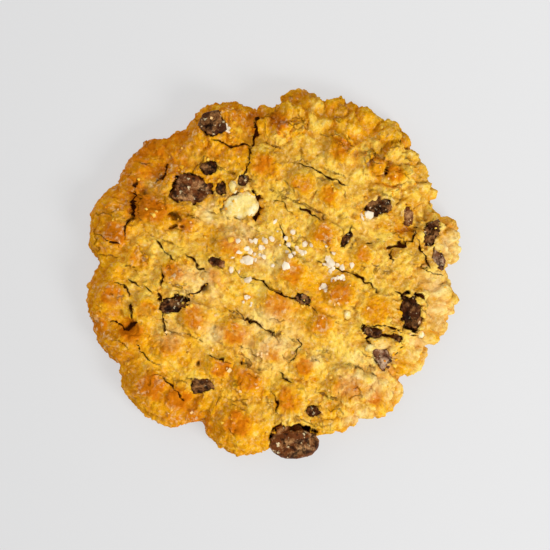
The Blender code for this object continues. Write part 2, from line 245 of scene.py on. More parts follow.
def line_offset(x, y, line):
    """Distance (mm) from points to the nearest leg of a line, positive on its left, and how far
    along the line that is, from 0 to 1."""
    nearest, side, along = np.full(np.shape(x), np.inf), np.ones(np.shape(x)), np.zeros(np.shape(x))
    lengths = [math.dist(a, b) for a, b in zip(line, line[1:])]
    before = 0.0
    for (ax, ay), (bx, by), length in zip(line, line[1:], lengths):
        run_x, run_y = (bx - ax) / length, (by - ay) / length
        walked = np.clip((x - ax) * run_x + (y - ay) * run_y, 0, length)
        distance = np.hypot(x - ax - walked * run_x, y - ay - walked * run_y)
        closer = distance < nearest
        side = np.where(closer, np.where(run_x * (y - ay) > run_y * (x - ax), 1.0, -1.0), side)
        along = np.where(closer, (before + walked) / sum(lengths), along)
        nearest = np.minimum(nearest, distance)
        before += length
    return nearest * side, along


def turned(x, y, angle):
    """Places along and across a direction, which is given as an angle in radians."""
    c, s = math.cos(angle), math.sin(angle)
    return x * c + y * s, y * c - x * s


def fork_bumps(x, y):
    """The fork's bumps, each a pillow with level lines that are rounded squares turned the
    fork's way and frayed by noise.  Gives the height (mm), and how brown a bump's top is there:
    1.75 times a smooth fall from its middle, and 1 at most."""
    flat = np.stack([x, y, 0 * x], axis=-1).reshape(-1, 3)
    x = x + FRAY * rough(flat, FRAY_SIZE, 3, 91).reshape(np.shape(x))
    y = y + FRAY * rough(flat, FRAY_SIZE, 3, 96).reshape(np.shape(y))
    along, across = turned(x, y, FORK_TURN)
    height, browned = np.zeros(np.shape(x)), np.zeros(np.shape(x))
    for row, bumps in FORK_ROWS.items():
        for place, half, rise in bumps:
            reach = np.abs(along - place) ** BUMP_SQUARE + np.abs(across - row) ** BUMP_SQUARE
            reach = reach ** (1 / BUMP_SQUARE) / half
            flank = np.minimum(reach / BUMP_FOOT, 1)
            height = np.maximum(height, BUMP_RISE * rise * (1 - flank**BUMP_FLAT) ** 0.9)
            browned = np.maximum(browned, np.clip(1.75 * smooth_fall(reach / BUMP_BROWN), 0, 1))
    return height, browned


def furrows(x, y):
    """Distance (mm) across the fork's direction to the nearest line its tines pressed."""
    across = turned(x, y, FORK_TURN)[1]
    return np.min([np.abs(across - line) for line in FURROWS], axis=0)


def fissures(x, y):
    """Depth of the wide fissures (mm), as rounded valleys."""
    depth = np.zeros(np.shape(x))
    for width, deep, line in FISSURES:
        depth = np.maximum(depth, deep * smooth_fall(line_offset(x, y, line)[0] / width))
    return depth


def top_height(x, y):
    """Height of the top (mm): a shallow dome, plus the bumps, less the fissures."""
    share = np.clip(np.hypot(x, y) / (lobe_reach(np.arctan2(y, x)) - EDGE_ROUND), 0, 1)
    return RIM_HEIGHT + CROWN * (1 - share**2) + fork_bumps(x, y)[0] - fissures(x, y)


def skin(share, bearing):
    """Points of the smooth round (mm).  share runs from 0 in the middle to 1 at the base: out
    over the top, then down a quarter of an ellipse to the widest part, then in to the base."""
    reach = lobe_reach(bearing)
    inner = reach - EDGE_ROUND
    out = np.clip(share / TOP_SHARE, 0, 1)
    swing = math.pi * np.clip((share - TOP_SHARE) / (1 - TOP_SHARE), 0, 1)
    under = swing > math.pi / 2
    radius = inner * out + EDGE_ROUND * np.sin(swing)
    radius = np.where(under, reach - TUCK * (1 - np.sin(swing)), radius)
    x, y = radius * np.cos(bearing), radius * np.sin(bearing)
    inner_x, inner_y = inner * out * np.cos(bearing), inner * out * np.sin(bearing)
    top = top_height(inner_x, inner_y)
    height = np.where(under, WIDEST * (1 + np.cos(swing)), WIDEST + (top - WIDEST) * np.cos(swing))
    return np.stack([x, y, height], axis=-1)


def scrambled(cells, seed):
    """A number from 0 to 1 for each whole-numbered cell: its three numbers and the seed, mixed
    by shifts and large odd factors in 32 bits."""
    mixed = cells.astype(np.int64) & 0xFFFFFFFF
    mixed = mixed[..., 0] * 73856093 ^ mixed[..., 1] * 19349663 ^ mixed[..., 2] * 83492791
    mixed = (mixed ^ seed * 2654435761) & 0xFFFFFFFF
    for shift, factor in ((16, 2246822519), (13, 3266489917)):
        mixed = ((mixed ^ mixed >> shift) * factor) & 0xFFFFFFFF
    return ((mixed ^ mixed >> 16) & 0xFFFFFF) / 0xFFFFFF


def three_numbers(cells, seed):
    """Three such numbers for each cell."""
    return np.stack([scrambled(cells, seed + k) for k in range(3)], axis=-1)


def waves(points, size, seed):
    """Smooth noise: slopes drawn at random for the corners of cubes of that size, each carried
    into the cube and blended smoothly, then made 2.4 times as strong, to about -1 to 1."""
    at = points / size
    base = np.floor(at).astype(np.int64)
    inside = at - base
    ease = inside**3 * (inside * (inside * 6 - 15) + 10)
    total = np.zeros(len(points))
    for corner in itertools.product((0, 1), repeat=3):
        slope = three_numbers(base + corner, seed) - 0.5
        weight = np.prod(np.where(corner, ease, 1 - ease), axis=-1)
        total += weight * np.sum(slope * (inside - corner), axis=-1)
    return total * 2.4


def rough(points, size, octaves, seed):
    """Layers of noise, each half as large and half as strong as the one before."""
    return sum(waves(points, size / 2**k, seed + 10 * k) / 2**k for k in range(octaves))


def sway(points, size, seed, step, ways=3):
    """A shift for each point: two layers of noise for each way that it may go."""
    return np.stack([rough(points, size, 2, seed + step * k) for k in range(ways)], axis=-1)


def crumbly(points, size, octaves, seed):
    """Flat-topped lumps with sharp creases between them, 0 at the creases: layers of noise
    without its sign, to the power 0.65, each half as large and 0.6 times as strong as the last."""
    return sum(
        np.abs(waves(points, size / 2**k, seed + 10 * k)) ** 0.65 * 0.6**k for k in range(octaves)
    )


def clods(points, size, seed):
    """The dough's grain, as cells round points strewn one to a cube of that size.  Gives the
    distance to the seam between cells, the distance to the cell's point, both in cubes, and
    the cell's own number from 0 to 1."""
    at = points / size
    base = np.floor(at).astype(np.int64)
    first, second, own = np.full(len(at), 9.0), np.full(len(at), 9.0), np.zeros(len(at))
    for step in itertools.product((-1, 0, 1), repeat=3):
        cell = base + step
        centre = cell + three_numbers(cell, seed)
        distance = np.linalg.norm(centre - at, axis=-1)
        second = np.where(distance < first, first, np.minimum(second, distance))
        own = np.where(distance < first, scrambled(cell, seed + 3), own)
        first = np.minimum(first, distance)
    return second - first, first, own


def round_crumbs(middle, number, least):
    """Height of crumbs with round tops, 1 at most: 1 - 1.1 times the square of the distance to
    a crumb's point, times the crumb's own share, which runs from the least to 1."""
    return (1 - 1.1 * middle**2) * (least + (1 - least) * number)


def disc_grid(rings):
    """Shares and bearings of a square grid laid over a disc, so that each square ring of the
    grid becomes a round one."""
    a, b = np.meshgrid(*[np.linspace(-1, 1, 2 * rings + 1)] * 2, indexing="ij")
    wide = np.abs(a) >= np.abs(b)
    safe_a, safe_b = np.where(a == 0, 1, a), np.where(b == 0, 1, b)
    bearing = np.where(wide, math.pi / 4 * b / safe_a, math.pi / 2 - math.pi / 4 * a / safe_b)
    bearing = np.where(wide & (a < 0) | ~wide & (b < 0), bearing + math.pi, bearing)
    return np.where(wide, np.abs(a), np.abs(b)), bearing


def grid_normals(points):
    """Unit normals of a grid of points: the cross product of its two directions."""
    normals = np.cross(np.gradient(points, axis=0), np.gradient(points, axis=1))
    return normals / np.maximum(np.linalg.norm(normals, axis=-1, keepdims=True), 1e-12)


def grid_faces(numbers):
    """Four-sided faces between the neighbours of a grid of point numbers."""
    return np.stack(
        [numbers[:-1, :-1], numbers[1:, :-1], numbers[1:, 1:], numbers[:-1, 1:]], axis=-1
    ).reshape(-1, 4)


def rim_loop(numbers):
    """The point numbers once round the outside of a grid."""
    return np.concatenate([numbers[:-1, 0], numbers[-1, :-1], numbers[:0:-1, -1], numbers[0, :0:-1]])


# The chips: name, kind, place, half length, half width, turn (degrees), how much the +X end
# tapers, and how far dough creeps over it.  Their heights come from their solids.
CHIPS = [
    ("chip_main", "milk", -16.5, 16.4, 4.5, 3.0, -8, 0.10, 0.00),
    ("chip_upper", "dark", -12.7, 20.6, 2.0, 1.6, 10, 0.05, 0.10),
    ("chip_bead", "dark", -10.3, 16.6, 1.4, 1.1, 80, 0.10, 0.00),
    ("chip_corner", "dark", -6.1, 18.1, 1.5, 1.2, 75, 0.10, 0.15),
    ("white_chunk", "white", -6.9, 13.1, 3.9, 2.8, 18, -0.12, 0.05),
    ("chip_top_left", "dark", -11.8, 29.3, 3.1, 2.6, 35, 0.10, 0.20),
    ("chip_right_upper", "dark", 21.0, 12.9, 3.5, 1.9, 20, 0.08, 0.12),
    ("chip_sliver", "milk", 26.6, 11.6, 2.3, 1.0, 98, 0.05, 0.35),
    ("chip_far_right", "dark", 31.2, 7.6, 3.0, 1.7, 65, 0.10, 0.15),
    ("chip_far_right_low", "milk", 32.8, 2.5, 2.1, 1.2, -60, 0.08, 0.55),
    ("chip_right", "dark", 27.4, -8.2, 4.4, 2.0, 96, -0.12, 0.00),
    ("chip_lower_right", "dark", 19.9, -12.0, 2.1, 1.2, -15, 0.10, 0.12),
    ("chip_dusted", "milk", 21.4, -16.9, 2.8, 1.9, -70, 0.10, 0.80),
    ("chip_speck", "dark", 24.7, -13.1, 1.2, 1.0, -12, 0.05, 0.30),
    ("chip_bottom", "milk", 4.1, -33.6, 4.8, 3.5, 0, 0.04, 0.00),
    ("chip_left", "dark", -19.8, -6.4, 3.4, 1.8, 22, -0.10, 0.05),
    ("chip_lower_left", "dark", -14.0, -22.4, 2.8, 1.5, 8, 0.08, 0.15),
    ("chip_mid", "dark", 5.8, -5.3, 1.9, 1.1, -22, 0.08, 0.10),
    ("chip_grey", "milk", -11.5, 2.0, 1.6, 0.9, -15, 0.05, 0.40),
    ("chip_crack", "dark", 14.5, 6.6, 1.8, 1.0, 62, 0.05, 0.20),
    ("chip_low", "dark", 7.8, -27.6, 1.4, 1.3, 20, 0.05, 0.30),
]
PLAN_SQUARE = 2.4     # how square a chip is seen from above: 2 is an ellipse
SIDE_SQUARE = 3.2     # how square it is seen from the side

rim_bearings = np.linspace(0, 2 * math.pi, 1440, endpoint=False)
rim = lobe_reach(rim_bearings) * np.array([np.cos(rim_bearings), np.sin(rim_bearings)])
dough_low, dough_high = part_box("dough")
MIDDLE = np.array(
    [
        (dough_low.x + dough_high.x) / 2 - MM * (rim[0].min() + rim[0].max()) / 2,
        (dough_low.y + dough_high.y) / 2 - MM * (rim[1].min() + rim[1].max()) / 2,
        0.0,
    ]
)


def chip_heights(name):
    """Height of a chip's middle and its half height (mm), from its solid."""
    low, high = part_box(name)
    return (low.z + high.z) / 2 / MM, (high.z - low.z) / 2 / MM


def chip_reach(points, chip):
    """How far out in a chip's plan points (mm) lie: 0 in its middle and 1 at its edge."""
    x, y, half_length, half_width, turn = chip[2:7]
    along, across = turned(points[:, 0] - x, points[:, 1] - y, math.radians(turn))
    along, across = np.abs(along / half_length), np.abs(across / half_width)
    return (along**PLAN_SQUARE + across**PLAN_SQUARE) ** (1 / PLAN_SQUARE)


def mesh_piece(name, points, faces):
    """A smooth-shaded piece at the origin from points in mm, in metres in the solids' frame."""
    mesh = bpy.data.meshes.new(name)
    mesh.from_pydata(points * MM + MIDDLE, [], faces)
    mesh.shade_smooth()
    made = bpy.data.objects.new(name, mesh)
    bpy.context.scene.collection.objects.link(made)
    return made


share, bearing = disc_grid(TOP_RINGS)
smooth_top = skin(share, bearing)
normals = grid_normals(smooth_top).reshape(-1, 3)
points = smooth_top.reshape(-1, 3)
x, y = points[:, 0], points[:, 1]
past_top = (share.reshape(-1) - TOP_SHARE) / (1 - TOP_SHARE)
on_side = np.clip(2 * past_top, 0, 1)
to_base = np.clip(2 * past_top - 1, 0, 1)

# The grain: lumps with creases between them, round crumbs on the lumps, grit on the crumbs, and
# knobs that the broken rim parts into.
LUMP_SIZE, KNOB_SIZE, CRUMB_SIZE, GRIT_SIZE = 4.2, 4.4, 1.25, 0.66    # their widths
LUMP_MEAN, CRUMB_MEAN = 0.85, 0.35    # taken off them, so that the round keeps its size
SWELL_HEIGHT = 0.30   # the round's slow swells
GRAIN_HEIGHT = 0.24   # the finest grain
FURROW_DEPTH = 0.5    # the lines that the tines pressed, beside the bumps
FURROW_HALF = 1.1     # half their width
SETTLED = 0.10        # how far the whole crust sank as it cooled

drift, ripple = sway(points, 4.0, 100, 7), sway(points, 1.1, 130, 7)
drifted = points + 0.9 * drift + 0.45 * ripple
crumpled = points + 0.5 * drift + 0.4 * ripple
swell = rough(points, 8.0, 2, 11)
looseness = np.clip(0.5 + 0.9 * rough(points, 6.0, 2, 71), 0, 1)
lumps = crumbly(drifted, LUMP_SIZE, 3, 21) - LUMP_MEAN
_, crumb_middle, crumb_number = clods(drifted, CRUMB_SIZE, 41)
_, grit_middle, grit_number = clods(points + 0.3 * ripple, GRIT_SIZE, 47)
knob_seam, knob_middle, knob_number = clods(drifted, KNOB_SIZE, 157)
crumbs = round_crumbs(crumb_middle, crumb_number, 0.25) - CRUMB_MEAN
grit = round_crumbs(grit_middle, grit_number, 0.1) - CRUMB_MEAN
knobs = 1.1 * (0.45 - knob_middle) + 0.5 * knob_number - 0.7 * smooth_fall(knob_seam / 0.22)
furrow = furrows(crumpled[:, 0], crumpled[:, 1])

# Where the parts of the grain stand, and how high (mm).  The right of the rim is the craggiest.
near_rim = np.clip((share.reshape(-1) / TOP_SHARE - 0.70) / 0.25, 0, 1)
craggy = near_rim * np.clip(0.50 + 0.65 * (x + 0.45 * y) / REACH, 0.18, 0.95)
lump_height = 0.30 + 0.35 * looseness + 0.45 * near_rim + 0.3 * on_side
crumb_height = (0.26 + 0.40 * looseness + 0.10 * near_rim) * (1 - 0.5 * on_side)
grit_height = 0.34 * (1 - 0.5 * on_side)
relief = (
    SWELL_HEIGHT * swell
    + lump_height * lumps
    + craggy * knobs
    + crumb_height * crumbs
    + grit_height * grit
    + GRAIN_HEIGHT * rough(points, 0.8, 2, 61)
    - FURROW_DEPTH * smooth_fall(furrow / FURROW_HALF) * (1 - on_side) * (1 - near_rim)
    - SETTLED
)
relief *= 1 - 0.75 * to_base

# The cracks: drawn lines that wander, break off and thin out to their ends.  Each point keeps
# how far it is from the nearest crack, signed by its side, so that the crack stays a thin line,
# which the material paints dark as the shade inside it.
STRAY = 0.55          # how far a crack strays from its line
CRACK_NEAR = 0.55     # how far from a crack its side is still kept
CRACK_OPEN = 0.68     # how much of its half width is open
CRACK_BANK = 0.35     # how far its banks slope beyond that
LIP_OUT = 0.3         # how far out its lips stand at their full height
LIP_FADE = 0.5        # over what width they fade from there
LIP_RISE = 0.3        # how high they rise
HOLE_FLARE = 1.3      # how far a hole's edge flares, as a share of its half width

crack_x, crack_y = (points[:, :2] + STRAY * sway(points, 1.5, 200, 9, ways=2)).T
breaks = np.clip(0.75 + 1.5 * rough(points, 1.7, 2, 231), 0, 1.4)
crack_side, crack_half = np.full(len(points), 9.0), np.full(len(points), -1.0)
crack_depth, lips = np.zeros(len(points)), np.zeros(len(points))
for width, depth, line in CRACKS:
    side, along = line_offset(crack_x, crack_y, line)
    half = CRACK_OPEN * width * (4 * along * (1 - along)) ** 0.4 * breaks
    nearer = (np.abs(side) < np.abs(crack_side)) & (np.abs(side) < CRACK_NEAR)
    crack_side = np.where(nearer, side, crack_side)
    crack_half = np.where(nearer, half, crack_half)
    valley = np.clip(1 - np.abs(side) / (half + CRACK_BANK), 0, 1) * np.clip(half / width, 0, 1)
    crack_depth = np.maximum(crack_depth, depth * valley)
    past_lip = np.maximum(np.abs(side) - half - LIP_OUT, 0)
    lips = np.maximum(lips, np.exp(-past_lip / LIP_FADE) * (half > 0.05))
hole = np.zeros(len(points))
for hole_x, hole_y, half, depth in HOLES:
    fall = smooth_fall(np.hypot(crack_x - hole_x, crack_y - hole_y) / (HOLE_FLARE * half))
    crack_depth = np.maximum(crack_depth, depth * fall)
    hole = np.maximum(hole, fall)
points = points + normals * (relief + (LIP_RISE * lips - crack_depth) * (1 - on_side))[:, None]

# The pockets: within a chip's outline, ragged so that dough creeps over its edge here and stands
# off from it there, the skin drops to just under the chip.  Round it the dough rises in a lip,
# no higher than the chip's top.
CREEP_HEIGHT = 1.1    # how high the lip stands at most
CREEP_REACH = 1.6     # how far out it goes, as a share of the chip's own reach
COVERING = 1.6        # how much a covering of dough draws the pocket in

# How far in a pocket each point lies, for the painted shade in the gap round each chip.
pocket_shade = np.zeros(len(points))
creep = rough(points, 1.9, 3, 121)
ragged = np.maximum(1.14 + 0.85 * creep, 0.97)
for chip in CHIPS:
    covered = chip[8]
    middle, half_height = chip_heights(chip[0])
    reach = chip_reach(points, chip)
    level = points[:, 2]
    lip = smooth_fall((reach - 1.05) / 0.5) * np.clip(0.35 + 1.3 * creep + covered, 0, 1)
    crept = np.minimum(level + CREEP_HEIGHT * lip, np.maximum(level, middle + half_height))
    height = np.where(reach < CREEP_REACH, crept, level)
    reach = reach * (ragged + covered * COVERING)
    floor = middle - 1.05 * half_height * np.clip(1 - reach**SIDE_SQUARE, 0, 1) ** (1 / SIDE_SQUARE)
    inside = np.clip((1.12 - reach) / 0.16, 0, 1) * (level > middle - 0.8 * half_height)
    pocket_shade = np.maximum(pocket_shade, inside)
    points[:, 2] = np.where(reach < 1, np.minimum(height, floor), height)

# The tallest lumps were flattened by the fork, and nothing hangs below the tray's face.
above = points[:, 2] - FLAT_ABOVE
points[:, 2] = np.where(above > 0, FLAT_ABOVE + 1 - np.exp(-np.maximum(above, 0)), points[:, 2])
points[:, 2] = np.maximum(points[:, 2], 0)

# The underside: a flat disc grid with half as many rings, joined to the top's last ring.  Steam
# left shallow pits in it, and the tray a faint swell, which both fade out at its rim.
BASE_INSET = 0.2      # how far its own rim lies inside the foot of the edge
PIT_SIZE, PIT_DEPTH, SWELL_DEPTH = 2.2, 0.35, 0.14

base_share, base_bearing = disc_grid(BASE_RINGS)
base_radius = base_share * (lobe_reach(base_bearing) - TUCK - BASE_INSET)
base = np.stack(
    [base_radius * np.cos(base_bearing), base_radius * np.sin(base_bearing), 0 * base_radius], axis=-1
).reshape(-1, 3)
_, pit_middle, pit_number = clods(base, PIT_SIZE, 141)
base_relief = PIT_DEPTH * smooth_fall(pit_middle / 0.45) * (pit_number > 0.55)
base_relief += SWELL_DEPTH * np.clip(rough(base, 3.0, 3, 151), 0, 1)
base[:, 2] = base_relief * np.clip((1 - base_share.reshape(-1)) * 12, 0, 1)

# The faces: the top, whose last ring lies on the table, a zipper of triangles between the two
# rims, and the base turned over.
top_numbers = np.arange(len(points)).reshape(share.shape)
base_numbers = len(points) + np.arange(len(base)).reshape(base_share.shape)
outer, inner = rim_loop(top_numbers), rim_loop(base_numbers)
points[outer, 2] = 0.0
even, odd, after = outer[::2], outer[1::2], np.roll(outer[::2], -1)
inner_after = np.roll(inner, -1)
zipper = np.concatenate(
    [
        np.stack([even, inner, odd], axis=-1),
        np.stack([odd, inner, inner_after], axis=-1),
        np.stack([odd, inner_after, after], axis=-1),
    ]
)
faces = grid_faces(top_numbers).tolist() + zipper.tolist() + grid_faces(base_numbers)[:, ::-1].tolist()
dough = mesh_piece("baked_dough", np.concatenate([points, base]), faces)

# How brown each point is, about 0.35 for golden and 1.1 for toasted: baked most on the tops of the
# bumps and to the rim, and more or less in some patches.  It is also browner to the left, partly
# baked so and partly painted shade on the side away from the key light, browner in the seams
# between the rim's knobs as painted shade, and browner in the fissures.
rim_share = np.hypot(x, y) / REACH
toasted = (
    0.02
    + fork_bumps(x, y)[1] * (0.84 + 0.5 * rough(points, 5.5, 1, 81))
    + 0.45 * np.clip((rim_share - 0.72) / 0.28, 0, 1)
    # browner to the left: partly baked so, partly painted shade away from the key light
    - 0.30 * np.clip(x / REACH, -1.2, 1)
    + 0.15 * fissures(x, y)
    + 0.15 * swell
    + 0.22 * (crumb_number - 0.5)
    # the seams between the rim's knobs browner: painted shade
    + craggy * (0.5 * (knob_number - 0.5) + 0.35 * smooth_fall(knob_seam / 0.25))
    + sum(more * smooth_fall(np.hypot(x - tx, y - ty) / size) for tx, ty, size, more in BROWN_PATCHES)
)
pale = np.zeros(len(points))
for pale_x, pale_y, size in PALE_PATCHES:
    pale = np.maximum(pale, smooth_fall(np.hypot(x - pale_x, y - pale_y) / size))
# How high each point stands in its grain: low in the creases between lumps and between the rim's knobs,
# where the material paints shade.
high = 0.5 + 0.8 * lumps + 0.7 * crumbs - 0.4 * craggy * smooth_fall(knob_seam / 0.2)

# What the material reads: a number for each point of the top, and one for the whole underside.
for name, values, under in (
    ("toasted", np.clip(toasted, 0, 1.6), 1.1),
    ("pale", pale, 0.0),
    ("high", np.clip(high, 0, 1), 0.5),
    ("crack_side", np.clip(crack_side, -2, 2), 2.0),
    ("crack_half", crack_half, -1.0),
    ("furrow", np.clip(furrow, 0, 4) + 9 * on_side, 9.0),
    # painted shade in the pockets round the chips and in the holes
    ("pocket_shade", np.clip(pocket_shade + 0.8 * hole, 0, 1), 0.0),
):
    whole = np.concatenate([values, np.full(len(base), under)]).astype(np.float32)
    dough.data.attributes.new(name, "FLOAT", "POINT").data.foreach_set("value", whole)


class Socket:
    """A value or colour on its way through a material.  Sums and products of values add Math
    nodes, so that shader maths reads as plain expressions."""

    def __init__(self, tree, source):
        self.tree, self.source = tree, source

    def math(self, operation, *others):
        """A Math node on this value and any others, in their order."""
        node = self.tree.nodes.new("ShaderNodeMath")
        node.operation = operation
        for slot, value in zip(node.inputs, (self, *others)):
            plug(self.tree, slot, value)
        return Socket(self.tree, node.outputs[0])

    def __add__(self, other):
        return self.math("ADD", other)

    def __sub__(self, other):
        return self.math("SUBTRACT", other)

    def __rsub__(self, other):
        return (self * -1.0).math("ADD", other)

    def __mul__(self, other):
        return self.math("MULTIPLY", other)

    __radd__, __rmul__ = __add__, __mul__

    def clamped(self):
        """Held between 0 and 1."""
        return self.math("MINIMUM", 1.0).math("MAXIMUM", 0.0)

    def between(self, low, high):
        """0 at low, 1 at high, and straight between them."""
        return ((self - low) * (1 / (high - low))).clamped()

    def coloured(self):
        """The colour that the same node gives."""
        return Socket(self.tree, self.source.node.outputs["Color"])


def plug(tree, slot, value):
    """Puts a number or colour on a node's socket, or links a value to it."""
    if isinstance(value, Socket):
        tree.links.new(value.source, slot)
    else:
        slot.default_value = value


class Finish:
    """A piece's material: its nodes, on the object's own coordinates in metres."""

    def __init__(self, name):
        self.material = bpy.data.materials.new(name)
        self.material.use_nodes = True
        self.tree = self.material.node_tree
        self.shader = self.tree.nodes["Principled BSDF"]
        self.place = self.node("ShaderNodeTexCoord", output="Object")

    def node(self, kind, settings=None, output=0, **inputs):
        """Adds a node: its settings first, then its sockets, named in small letters."""
        node = self.tree.nodes.new(kind)
        for key, value in (settings or {}).items():
            setattr(node, key, value)
        for key, value in inputs.items():
            slots = [s for s in node.inputs if s.name.lower().replace(" ", "_") == key and s.enabled]
            plug(self.tree, slots[0], value)
        return Socket(self.tree, node.outputs[output])

    def noise(self, size, detail=2.0, seed=0.0, roughness=0.55):
        """Noise from 0 to 1 with features of about that size (mm)."""
        return self.node(
            "ShaderNodeTexNoise",
            {"noise_dimensions": "4D"},
            vector=self.place,
            w=seed,
            scale=0.5 / (size * MM),
            detail=detail,
            roughness=roughness,
        )

    def warped(self, size, amount, seed=0.0):
        """The object's coordinates, moved about by up to half that amount (mm) by noise."""
        push = self.noise(size, 3.0, seed).coloured()
        moved = self.tree.nodes.new("ShaderNodeVectorMath")
        moved.operation = "MULTIPLY_ADD"
        for slot, value in zip(moved.inputs, (push, [amount * MM] * 3, self.place)):
            plug(self.tree, slot, value)
        return Socket(self.tree, moved.outputs[0])

    def along_rows(self, place, stretch):
        """A place turned so that X runs along the fork's rows, and drawn together that way."""
        turn, scale = (0, 0, FORK_TURN), (stretch, 1, 1)
        return self.node(
            "ShaderNodeMapping", {"vector_type": "TEXTURE"}, vector=place, rotation=turn, scale=scale
        )

    def seams(self, size, place, width):
        """Seams between cells of that size (mm): 1 on a seam, 0 from that width off it."""
        edge = self.node(
            "ShaderNodeTexVoronoi", {"feature": "DISTANCE_TO_EDGE"}, vector=place, scale=1 / (size * MM)
        )
        return 1.0 - (edge * (size / width)).clamped()

    def stored(self, name):
        """A number that the piece keeps for each point."""
        return self.node("ShaderNodeAttribute", {"attribute_name": name}, output="Fac")

    def mix(self, factor, first, second):
        """The first colour, turning into the second as the factor goes to 1."""
        return self.node(
            "ShaderNodeMix", {"data_type": "RGBA"}, output=2, factor=factor, a=first, b=second
        )

    def layered(self, colour, *layers):
        """A colour under layers, each a mask and the colour that shows where the mask is 1."""
        for mask, over in layers:
            colour = self.mix(mask, colour, over)
        return colour

    def finish(self, colour, roughness, relief=None, depth=0.1, **shader):
        """Sets the shader: colour, roughness, a relief of that depth (mm), and plain values."""
        plug(self.tree, self.shader.inputs["Base Color"], colour)
        plug(self.tree, self.shader.inputs["Roughness"], roughness)
        for key, value in shader.items():
            self.shader.inputs[key.replace("_", " ")].default_value = value
        if relief is not None:
            bump = self.node("ShaderNodeBump", distance=depth * MM, height=relief)
            plug(self.tree, self.shader.inputs["Normal"], bump)
        return self.material


def shade(red, green, blue):
    """A colour, given as on a screen from 0 to 255, as the shader's linear light."""
    screen = (red, green, blue)
    light = [((c / 255 + 0.055) / 1.055) ** 2.4 if c > 10 else c / 3294.6 for c in screen]
    return (*light, 1.0)


PALE_CRUMB = shade(255, 218, 96)
GOLDEN_CRUMB = shade(244, 177, 22)
TOASTED_CRUST = shade(218, 124, 14)
DARK_CRUST = shade(150, 74, 6)
# Painted shade, dark inside the cracks, the holes and the pockets round the chips:
CRACK_SHADE = shade(66, 29, 6)
PARTED_SHADE = shade(96, 46, 6)
SUGAR_PALE = shade(255, 236, 186)
CREAM_CRUMB = shade(255, 231, 158)
OLIVE_SHADE = shade(180, 138, 18)
DEEP_CREASE_SHADE = shade(188, 108, 10)
FURROW_YELLOW = shade(232, 196, 70)

crust = Finish("baked_crust")
blotches = (crust.noise(5.0, 3.0, 0.0, 0.5) - 0.5) * 0.4 + (crust.noise(1.2, 4.0, 1.0, 0.65) - 0.5) * 0.9
cells = crust.node(
    "ShaderNodeTexVoronoi", {"feature": "F1"}, vector=crust.warped(0.8, 0.7, 61.0), scale=1 / (0.9 * MM)
)
crumb_tone = crust.node("ShaderNodeSeparateXYZ", vector=cells.coloured())
toast = crust.stored("toasted") + blotches + (crumb_tone - 0.5) * 0.35

# Where it is tinted: olive where it stayed pale, yellow in the furrows, cream where crumb shows,
# and a dust of sugar on the browned tops with painted glints in it, where the tops catch the light.
olive = crust.noise(5.0, 3.0, 13.0).between(0.46, 0.66) * (1.0 - toast).between(0.4, 1.0)
pressed = (1.0 - crust.stored("furrow") * (1 / 2.4)).clamped()
pressed = pressed * crust.noise(3.0, 3.0, 71.0).between(0.36, 0.56)
cream = crust.stored("pale") * crust.noise(1.4, 4.0, 17.0, 0.65).between(0.36, 0.60)
sugar_and_glints = crust.noise(3.6, 2.0, 81.0).between(0.45, 0.58) * toast.between(0.45, 0.85)
sugar_and_glints = sugar_and_glints * crust.noise(0.45, 3.0, 83.0, 0.6).between(0.52, 0.66)
sand = crust.noise(0.34, 3.0, 5.0, 0.6)

# Fine cracks where the crust parted: broken runs along the furrows, and a sparse net that
# follows the fork's rows; then the drawn cracks.  Their dark colour is painted shade.
frayed = crust.stored("furrow") + (crust.noise(0.9, 3.0, 23.0) - 0.5) * 1.5
along_furrow = (1.0 - frayed.math("ABSOLUTE") * (1 / 0.22)).clamped()
along_furrow = along_furrow * crust.noise(2.6, 2.0, 27.0).between(0.46, 0.54)
net = crust.seams(6.0, crust.along_rows(crust.warped(1.3, 3.0, 21.0), 1.8), 0.22)
net = net * crust.noise(2.4, 2.0, 31.0).between(0.54, 0.61)
parted = along_furrow.math("MAXIMUM", net * 0.8)
crack = (crust.stored("crack_half") - crust.stored("crack_side").math("ABSOLUTE")).between(-0.10, 0.08)

colour = crust.layered(
    PALE_CRUMB,
    (toast.between(-0.20, 0.35), GOLDEN_CRUMB),
    (toast.between(0.35, 1.10), TOASTED_CRUST),
    (toast.between(1.10, 2.0), DARK_CRUST),
    (olive * 0.25, OLIVE_SHADE),
    (pressed * 0.5, FURROW_YELLOW),
    (cream * (1.4 - toast).between(0.0, 0.9) * 0.85, CREAM_CRUMB),
    (sugar_and_glints * 0.7, SUGAR_PALE),
    # painted shade where the grain stands low, in its creases
    (crust.stored("high").between(0.46, 0.16) * 0.42, DEEP_CREASE_SHADE),
    (sand.between(0.52, 0.74) * (1.2 - toast).between(0.0, 1.4) * 0.55, SUGAR_PALE),
    (sand.between(0.47, 0.28) * 0.42, DARK_CRUST),
    # painted shade inside the fine cracks
    (parted * 0.75, PARTED_SHADE),
    # painted shade inside the drawn cracks, and in the pockets round the chips and the holes
    (crack, CRACK_SHADE),
    (crust.stored("pocket_shade").between(0.3, 0.9), CRACK_SHADE),
)
dough.data.materials.append(
    crust.finish(
        colour,
        0.75 + 0.2 * crust.noise(1.0),
        relief=sand - cells * 0.4 - crack * 1.5 - parted * 0.7,
        depth=0.34,
        Specular_IOR_Level=0.0,
    )
)
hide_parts("dough")
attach(dough, "root")


# The chips ------------------------------------------------------------------------------------
# Baking chips and a chunk of white chocolate, melted soft and set again in the oven, so they are
# lumpy and slightly dull, with a bloom of fat and a dust of crumbs.  Their colour also carries
# painted highlights in the bloom and painted shade in dark patches.

CHIP_AROUND, CHIP_RINGS = 72, 40    # faces round a chip, and from its top to its foot

# Height of the melted knobs (mm) on each kind, and on the one chip that is smoother.
KNOBS = {"dark": 0.50, "milk": 0.50, "white": 0.22, "chip_bottom": 0.16}


